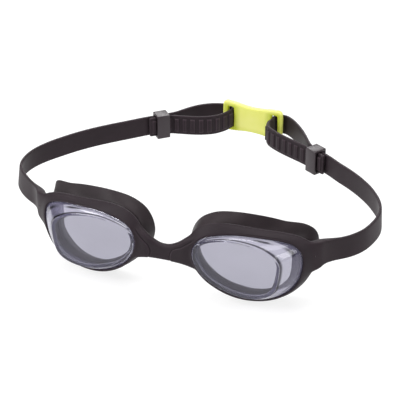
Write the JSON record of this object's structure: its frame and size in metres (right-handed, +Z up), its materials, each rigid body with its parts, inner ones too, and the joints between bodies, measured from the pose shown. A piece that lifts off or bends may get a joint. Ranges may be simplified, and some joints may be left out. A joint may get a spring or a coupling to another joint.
{
  "type": "swim goggles",
  "caption": "Swim goggles: smoke lens cups in a soft black frame with nose bridge, soft eye gaskets, and a ribbed strap with keepers and an hour-glass rear clip.",
  "frame": {"origin": "the middle of the underside of the nose bridge, on the mid plane of the face, where the goggles sit over the nose (the mount nose_saddle)", "axes": "+X towards the wearer's left, +Y from the lens faces back to the rear clip, +Z up"},
  "size_m": [0.2144, 0.1634, 0.0503],
  "materials": {
    "frame_rubber": "matt black soft moulded rubber with a fine satin bloom",
    "lens_smoke": "clear light smoke polycarbonate, polished",
    "gasket_rubber": "smooth satin black silicone",
    "anchor_plastic": "plain moulded plastic, hidden",
    "strap_rubber": "satin black silicone band",
    "keeper_plastic": "black moulded plastic with a soft sheen",
    "clip_plastic": "translucent yellow-green plastic, satin"
  },
  "bodies": {
    "eyecups": {"frame": "frame_rubber", "lens_left": "lens_smoke", "lens_right": "lens_smoke", "gasket_left": "gasket_rubber", "gasket_right": "gasket_rubber", "anchor_left": "anchor_plastic", "anchor_right": "anchor_plastic"},
    "strap_left_body": {"strap_left": "strap_rubber"},
    "strap_right_body": {"strap_right": "strap_rubber"},
    "clip_body": {"rear_clip": "clip_plastic"},
    "keeper_left_body": {"keeper_left": "keeper_plastic"},
    "keeper_right_body": {"keeper_right": "keeper_plastic"}
  },
  "joints": [
    {"name": "strap_left_tilt", "type": "hinge", "parent": "eyecups", "child": "strap_left_body", "pos_m": [0.079, 0.014, 0.0102], "axis": [1, 0, 0], "range_deg": [-10, 35], "stiffness_Nm_per_rad": 0.15},
    {"name": "strap_right_tilt", "type": "hinge", "parent": "eyecups", "child": "strap_right_body", "pos_m": [-0.079, 0.014, 0.0102], "axis": [1, 0, 0], "range_deg": [-10, 35]},
    {"name": "clip_rock", "type": "hinge", "parent": "strap_left_body", "child": "clip_body", "pos_m": [0, 0.1526, 0.0118], "axis": [0, 0, 1], "range_deg": [-4, 4]},
    {"name": "keeper_left_slide", "type": "slide", "parent": "strap_left_body", "child": "keeper_left_body", "axis": [-0.8449, 0.5349, 0], "range_m": [-0.004, 0.002]},
    {"name": "keeper_right_slide", "type": "slide", "parent": "strap_right_body", "child": "keeper_right_body", "axis": [0.7581, 0.6521, 0], "range_m": [-0.004, 0.002]}
  ],
  "couplings": [
    {"joint": "strap_right_tilt", "follows": "strap_left_tilt", "ratio": 1}
  ]
}
